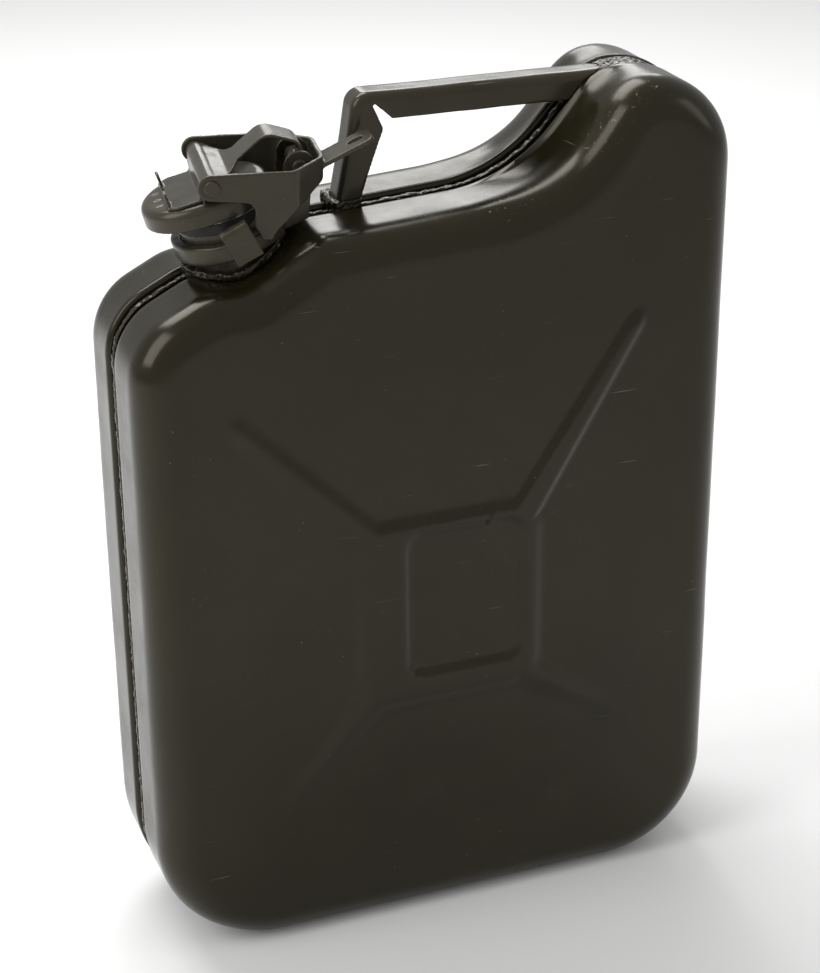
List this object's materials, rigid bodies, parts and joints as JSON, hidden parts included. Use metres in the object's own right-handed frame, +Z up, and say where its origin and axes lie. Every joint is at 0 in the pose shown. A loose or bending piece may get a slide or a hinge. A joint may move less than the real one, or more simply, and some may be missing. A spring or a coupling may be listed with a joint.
{
  "type": "steel fuel can",
  "caption": "Flat pressed-steel fuel can, two welded halves, single welded handle over a stepped top, tilted neck with a hinged cap and a locking lever.",
  "frame": {"origin": "middle of the base, on the surface the can stands on, half way through its thickness", "axes": "+Z up; +X along the broad faces, from the neck end to the hump end; +Y through the thickness, the pictured face being -Y"},
  "size_m": [0.345, 0.1148, 0.49],
  "materials": {
    "tank_paint": "dark olive-brown gloss enamel on pressed steel, dusty, fine scratches, small chips on the edges",
    "closure_paint": "the same dark olive enamel on stamped closure parts, edges worn to bare metal",
    "handle_paint": "dark olive enamel on a folded channel handle, worn on the grip's edges",
    "weld_paint": "painted ragged weld bead, thick enamel pooled in the ripples",
    "pin_steel": "painted steel rivets with cross-hatched, partly bare heads",
    "plated_steel": "dull zinc-plated steel",
    "seal_rubber": "matte black fuel-proof rubber"
  },
  "bodies": {
    "tank": {"front_shell": "tank_paint", "rear_shell": "tank_paint", "seam_weld": "weld_paint", "neck_tube": "closure_paint", "neck_weld": "weld_paint", "mouth_collar": "closure_paint", "front_latch_hook": "closure_paint", "rear_latch_hook": "closure_paint", "hinge_bracket": "closure_paint", "hinge_pin": "pin_steel", "breather_tube": "plated_steel", "breather_clip": "plated_steel", "handle": "handle_paint", "handle_front_weld": "weld_paint", "handle_rear_weld": "weld_paint"},
    "cap": {"cap_cup": "closure_paint", "gasket_carrier": "plated_steel", "cap_gasket": "seal_rubber", "gasket_retainer": "plated_steel", "retainer_rivet": "pin_steel", "cap_strap": "closure_paint"},
    "lever": {"lever": "closure_paint", "lever_pin": "pin_steel"}
  },
  "joints": [
    {"name": "cap_hinge", "type": "hinge", "parent": "tank", "child": "cap", "pos_m": [-0.0674, -0.00704, 0.45742], "axis": [0.1511, 0.9877, 0.0405], "range_deg": [0, 100]},
    {"name": "lever_pivot", "type": "hinge", "parent": "cap", "child": "lever", "pos_m": [-0.1161, 0.00047, 0.45597], "axis": [-0.1511, -0.9877, -0.0405], "range_deg": [0, 150]}
  ],
  "couplings": [
    {"joint": "lever_pivot", "follows": "cap_hinge", "ratio": 1.5}
  ]
}
